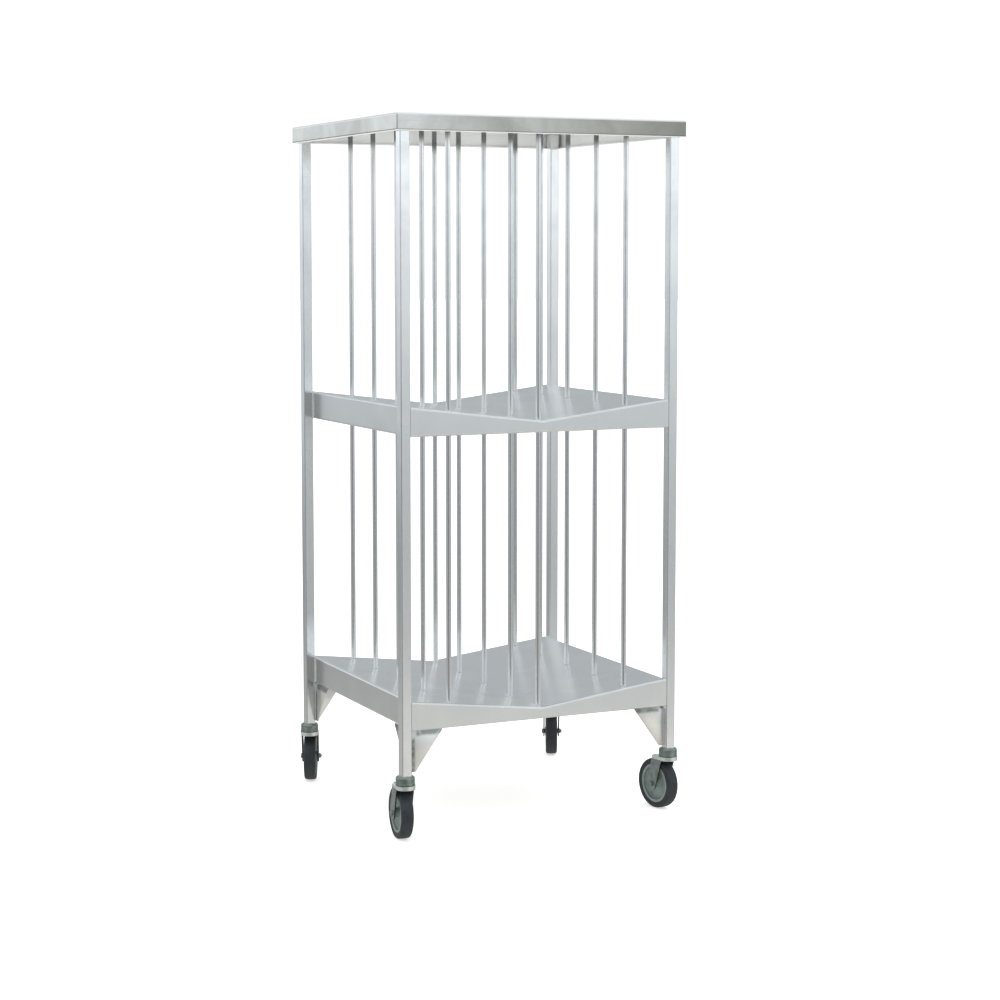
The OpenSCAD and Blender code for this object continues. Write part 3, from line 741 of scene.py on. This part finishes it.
HEX_R = HEX_AF / 2 / math.cos(math.radians(30))
HEX_CHAMFER = 0.87
# The round blank that trims a hexagon is a little larger, so that no faces coincide
BLANK_R = HEX_R * 1.002
BLANK_STRETCH = 1.0001
SEAT = FORK_OUT_W / 2
COLLAR_R = 5.5 * MM
COLLAR_H = 1.8 * MM
COLLAR_ROUNDING = 0.6 * MM
COLLAR_RIM = 1 * MM
COLLAR_DIP = 0.4 * MM
TIP_SINK = 0.2 * MM
THREAD_STEPS = 6
THREAD_ROOT = 0.9
THREAD_TIP = 0.78


def chamfered_hexagon(name, low, high, ends):
    """A hexagon along Z with its corners turned off at the given ends, -1 or 1, as heads and nuts are."""
    height = high - low
    deselect()
    bpy.ops.mesh.primitive_cylinder_add(vertices=6, radius=HEX_R, depth=height,
                                        location=(0, 0, low + height / 2))
    piece = begin(name)
    bpy.ops.object.mode_set(mode="OBJECT")
    deselect()
    bpy.ops.mesh.primitive_cylinder_add(vertices=48, radius=BLANK_R, depth=height * BLANK_STRETCH,
                                        location=(0, 0, low + height / 2))
    turned = begin("turned")
    for end in ends:
        select("FACE", lambda face: face.normal.z * end > FACING)
        bpy.ops.transform.resize(value=(HEX_CHAMFER, HEX_CHAMFER, 1))
    bpy.ops.object.mode_set(mode="OBJECT")
    combine(piece, turned, "INTERSECT")
    return piece


def threaded_end(name, low, high):
    """The end of the bolt past the nut, with its thread as rings and a chamfered tip."""
    deselect()
    bpy.ops.mesh.primitive_circle_add(vertices=32, radius=AXLE_R, fill_type="NGON", location=(0, 0, low))
    piece = begin(name)
    everything()
    widths = [1.0] + [THREAD_ROOT if step % 2 else 1.0 for step in range(1, THREAD_STEPS)] + [THREAD_TIP]
    for before, after in zip(widths, widths[1:]):
        draw_out((high - low) / THREAD_STEPS, before, after)
    finish_form()
    return piece


def collar(name, low, high):
    """The round collar of a lock nut, rolled in over its insert."""
    deselect()
    bpy.ops.mesh.primitive_cylinder_add(vertices=40, radius=COLLAR_R, depth=high - low,
                                        location=(0, 0, (low + high) / 2))
    piece = begin(name)
    select("FACE", lambda face: face.normal.z > FACING)
    bpy.ops.mesh.bevel(offset=COLLAR_ROUNDING, segments=4, affect="EDGES")
    select("FACE", lambda face: face.normal.z > FACING)
    bpy.ops.mesh.inset(thickness=COLLAR_RIM)
    bpy.ops.transform.translate(value=(0, 0, -COLLAR_DIP))
    bpy.ops.object.mode_set(mode="OBJECT")
    return piece


def axle_bolt():
    """A hexagon bolt along Z through the fork, head at -Z, with a lock nut at +Z."""
    head = chamfered_hexagon("head", -SEAT - BOLT_HEAD_H, -SEAT, (-1,))
    deselect()
    bpy.ops.mesh.primitive_cylinder_add(vertices=32, radius=AXLE_R, depth=2 * SEAT + NUT_H)
    shank = begin("shank")
    everything()
    bpy.ops.transform.translate(value=(0, 0, NUT_H / 2))
    bpy.ops.object.mode_set(mode="OBJECT")
    nut = chamfered_hexagon("nut", SEAT, SEAT + NUT_H - COLLAR_H, (-1, 1))
    ring = collar("collar", SEAT + NUT_H - COLLAR_H, SEAT + NUT_H)
    tip = threaded_end("tip", SEAT + NUT_H - TIP_SINK, SEAT + NUT_H + BOLT_END)
    return join([head, shank, nut, ring, tip], "axle_bolt")


pattern_bolt = axle_bolt()
for corner in CORNERS:
    place = (Matrix.Translation(joint_of("wheel_" + corner)["pos_m"])
             @ Matrix.Rotation(heading(corner), 4, "Z") @ Matrix.Rotation(math.radians(90), 4, "Y"))
    bolt = copy_of(pattern_bolt, "axle_bolt_" + corner, place)
    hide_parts("caster_axle_" + corner)
    dress(bolt, "swivel_" + corner, "axle_steel")
drop(pattern_bolt)


# Camera: a long lens at chest height, off the rack's left front corner

camera_data = bpy.data.cameras.new("camera")
camera_data.lens = 79.342
camera_data.sensor_width = 36
camera_data.shift_y = -0.04
camera = bpy.data.objects.new("camera", camera_data)
camera.location = (-2.3472, -5.0982, 1.406)
camera.rotation_euler = (math.radians(90 - 5.406), 0, math.radians(-25.139))
bpy.context.scene.collection.objects.link(camera)
bpy.context.scene.camera = camera

# Floor and light. White paper lies under the rack, and white walls stand all round it. What the metal mirrors
# is the grey room past the paper, which is darkest behind the camera and lighter above.
FLOOR_R = 60
WHITE_LEVEL = 1.08
BRIGHTEST = 2.0

# Each wall of the room as its brightness by height: pairs of elevation in degrees and level
SIDE_WALLS = [(-90, 0.75), (-20, 0.60), (-12, 0.45), (-3, 0.42), (-1.5, 0.62), (0, 0.85), (2, 0.95),
              (32, 0.95), (46, 1.00), (90, 1.00)]
# The wall that the rack's front faces mirror towards the camera
FRONT_MIRRORS = [(-90, 0.60), (-22, 0.70), (-17, 1.10), (-14, 1.08), (-13.2, 0.84), (-12.4, 0.75),
                 (-11, 0.52), (-9, 0.26), (-7, 0.45), (-4.6, 0.64), (-2, 0.69), (0, 0.85), (1.5, 1.08),
                 (2.7, 1.52), (5, 1.58), (9, 0.80), (32, 0.75), (46, 1.00), (90, 1.00)]
# The wall that its left faces mirror towards the camera
LEFT_MIRRORS = [(-90, 0.60), (-14, 0.56), (-12.5, 0.50), (-11, 0.42), (-9, 0.30), (-7, 0.32), (-4.6, 0.66),
                (-2, 0.70), (1, 0.90), (3, 1.30), (6, 1.20), (12, 0.70), (32, 0.70), (46, 1.00), (90, 1.00)]
# The wall that its decks mirror towards the camera
DECK_MIRRORS = [(-90, 0.50), (20, 0.52), (30, 0.60), (90, 0.70)]
# The wall behind the camera, which the rods mirror back to it
ROD_MIRRORS = [(-90, 0.60), (-20, 0.45), (-14, 0.30), (-10, 0.24), (-4.5, 0.17), (-2.5, 0.26), (-0.5, 0.55),
               (3, 0.72), (32, 0.72), (46, 1.00), (90, 1.00)]

deselect()
bpy.ops.mesh.primitive_circle_add(vertices=96, radius=FLOOR_R, fill_type="NGON", location=(0, 0, 0))
floor = bpy.context.active_object
floor.name = "studio_floor"
floor.data.materials.append(seamless_paper())
floor.visible_glossy = False

world = bpy.data.worlds.new("white_studio")
world.use_nodes = True
bpy.context.scene.world = world
sky = world.node_tree
direction = add(sky, "ShaderNodeTexCoord", {}).outputs["Generated"]
upward = add(sky, "ShaderNodeSeparateXYZ", {}, {"Vector": direction}).outputs["Z"]
height = add(sky, "ShaderNodeMath", {"operation": "MULTIPLY_ADD", 1: 0.5, 2: 0.5},
             {0: upward}).outputs["Value"]
flat = add(sky, "ShaderNodeVectorMath", {"operation": "MULTIPLY", 1: (1, 1, 0)}, {0: direction})
bearing = add(sky, "ShaderNodeVectorMath", {"operation": "NORMALIZE"},
              {0: flat.outputs["Vector"]}).outputs["Vector"]


def wall(stops):
    """One wall's brightness by height."""
    node = add(sky, "ShaderNodeValToRGB", {}, {"Fac": height})
    elements = node.color_ramp.elements
    for _ in stops[2:]:
        elements.new(0.5)
    for element, (elevation, level) in zip(elements, stops):
        element.position = math.sin(math.radians(elevation)) / 2 + 0.5
        element.color = (level / BRIGHTEST,) * 3 + (1,)
    return node.outputs["Color"]


def walled(azimuth, inner, outer, stops, room):
    """Puts a wall in the room about an azimuth, counted from the rack's front and positive to its right: all
    of it inside the inner angle and none outside the outer one."""
    turn = math.radians(azimuth)
    facing = add(sky, "ShaderNodeVectorMath", {"operation": "DOT_PRODUCT",
                                               1: (math.sin(turn), -math.cos(turn), 0)}, {0: bearing})
    share = add(sky, "ShaderNodeMapRange", {"interpolation_type": "SMOOTHSTEP",
                                            "From Min": math.cos(math.radians(outer)),
                                            "From Max": math.cos(math.radians(inner))},
                {"Value": facing.outputs["Value"]})
    return add(sky, "ShaderNodeMix", {"data_type": "RGBA"},
               {0: share.outputs["Result"], 6: room, 7: wall(stops)}).outputs[2]


room = wall(SIDE_WALLS)
room = walled(25, 30, 42, FRONT_MIRRORS, room)
room = walled(205, 16, 30, LEFT_MIRRORS, room)
room = walled(155, 14, 26, DECK_MIRRORS, room)
room = walled(-25, 26, 44, ROD_MIRRORS, room)
mirrored = add(sky, "ShaderNodeLightPath", {}).outputs["Is Glossy Ray"]
level = add(sky, "ShaderNodeMath", {"operation": "MULTIPLY", 1: BRIGHTEST}, {0: room}).outputs["Value"]
strength = add(sky, "ShaderNodeMix", {"data_type": "FLOAT", 2: WHITE_LEVEL}, {0: mirrored, 3: level})
# What is mirrored is faintly warm near the floor and cool above it
above_floor = add(sky, "ShaderNodeMapRange", {"From Min": -0.26, "From Max": -0.12}, {"Value": upward})
cool = add(sky, "ShaderNodeMix", {"data_type": "RGBA", 6: linear("#FFFDF8"), 7: linear("#F4FAFE")},
           {0: above_floor.outputs["Result"]})
tint = add(sky, "ShaderNodeMix", {"data_type": "RGBA", 6: linear("#FFFFFF")},
           {0: mirrored, 7: cool.outputs[2]})
background = sky.nodes["Background"]
sky.links.new(strength.outputs[0], background.inputs["Strength"])
sky.links.new(tint.outputs[2], background.inputs["Color"])

# An overhead softbox lights the rack but isn't mirrored in it
SOFTBOX_PLACE = Vector((0.5, -0.5, 4.2))
softbox_data = bpy.data.lights.new("overhead_softbox", "AREA")
softbox_data.shape = "RECTANGLE"
softbox_data.size = 4.0
softbox_data.size_y = 4.0
softbox_data.energy = 60
softbox = bpy.data.objects.new("overhead_softbox", softbox_data)
softbox.location = SOFTBOX_PLACE
softbox.rotation_euler = (-SOFTBOX_PLACE).to_track_quat("-Z", "Y").to_euler()
softbox.visible_glossy = False
bpy.context.scene.collection.objects.link(softbox)

bpy.context.scene.view_settings.view_transform = "Standard"
